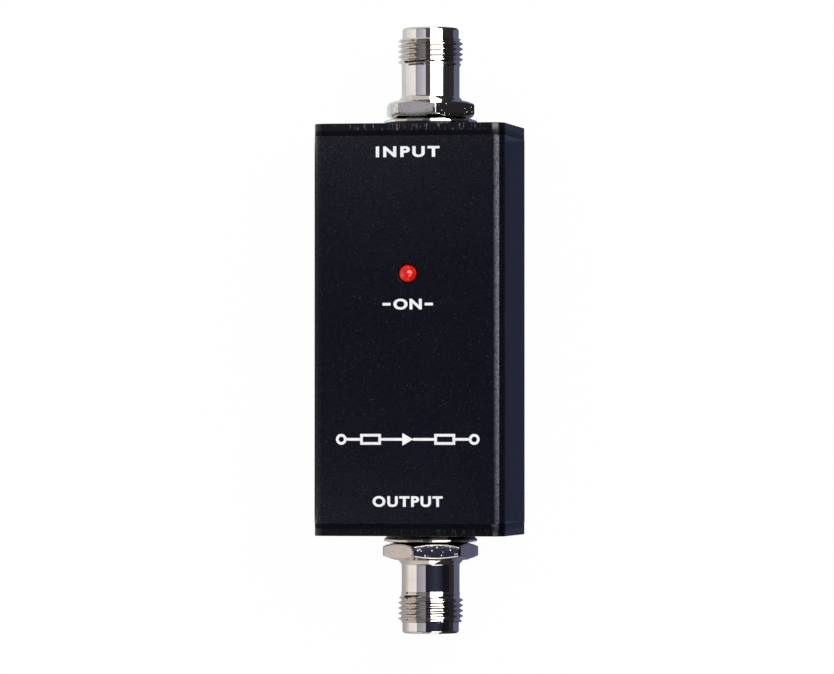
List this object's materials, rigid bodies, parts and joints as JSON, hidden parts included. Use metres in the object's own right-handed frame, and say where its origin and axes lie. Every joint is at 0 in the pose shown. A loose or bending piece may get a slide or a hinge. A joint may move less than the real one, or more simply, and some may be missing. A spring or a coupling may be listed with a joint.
{
  "type": "in-line signal amplifier",
  "caption": "Small black in-line aerial amplifier: extruded case with screwed end plates, a threaded coaxial jack on each end, a red power lamp on the front and a circuit board inside.",
  "frame": {"origin": "centre of the back face, on which the case lies", "axes": "+X across the front to the right, +Y along the case towards the antenna jack, +Z out of the front face"},
  "size_m": [0.033, 0.1038, 0.0248],
  "materials": {
    "case_black": "fine-textured satin black",
    "plate_black": "satin black with sheared edges",
    "screw_black": "black oxide",
    "nickel": "bright nickel plate",
    "washer_nickel": "bright nickel plate",
    "lock_washer_nickel": "nickel plate",
    "nut_nickel": "bright nickel plate",
    "insulator_white": "waxy white",
    "contact_gold": "gold plate",
    "board_green": "green solder resist",
    "track_copper": "copper",
    "chip_black": "matt moulded black",
    "choke_brown": "ferrite and enamelled wire",
    "capacitor_yellow": "moulded yellow",
    "capacitor_tan": "ceramic tan",
    "resistor_dark": "glazed dark",
    "lens_red": "tinted clear red",
    "leg_tin": "tinned",
    "spacer_nylon": "natural nylon"
  },
  "bodies": {
    "root": {"case_tube": "case_black", "antenna_end_plate": "plate_black", "receiver_end_plate": "plate_black", "antenna_plate_screws": "screw_black", "receiver_plate_screws": "screw_black", "antenna_jack_body": "nickel", "receiver_jack_body": "nickel", "antenna_insulator": "insulator_white", "receiver_insulator": "insulator_white", "antenna_contact": "contact_gold", "receiver_contact": "contact_gold", "antenna_washer": "washer_nickel", "receiver_washer": "washer_nickel", "antenna_lock_washer": "lock_washer_nickel", "receiver_lock_washer": "lock_washer_nickel", "antenna_nut": "nut_nickel", "receiver_nut": "nut_nickel", "circuit_board": "board_green", "copper_tracks": "track_copper", "amplifier_chip": "chip_black", "voltage_regulator": "chip_black", "bias_choke": "choke_brown", "smoothing_capacitor": "capacitor_yellow", "chip_capacitors": "capacitor_tan", "chip_resistors": "resistor_dark", "lamp_lens": "lens_red", "lamp_legs": "leg_tin", "lamp_spacer": "spacer_nylon"}
  },
  "joints": []
}
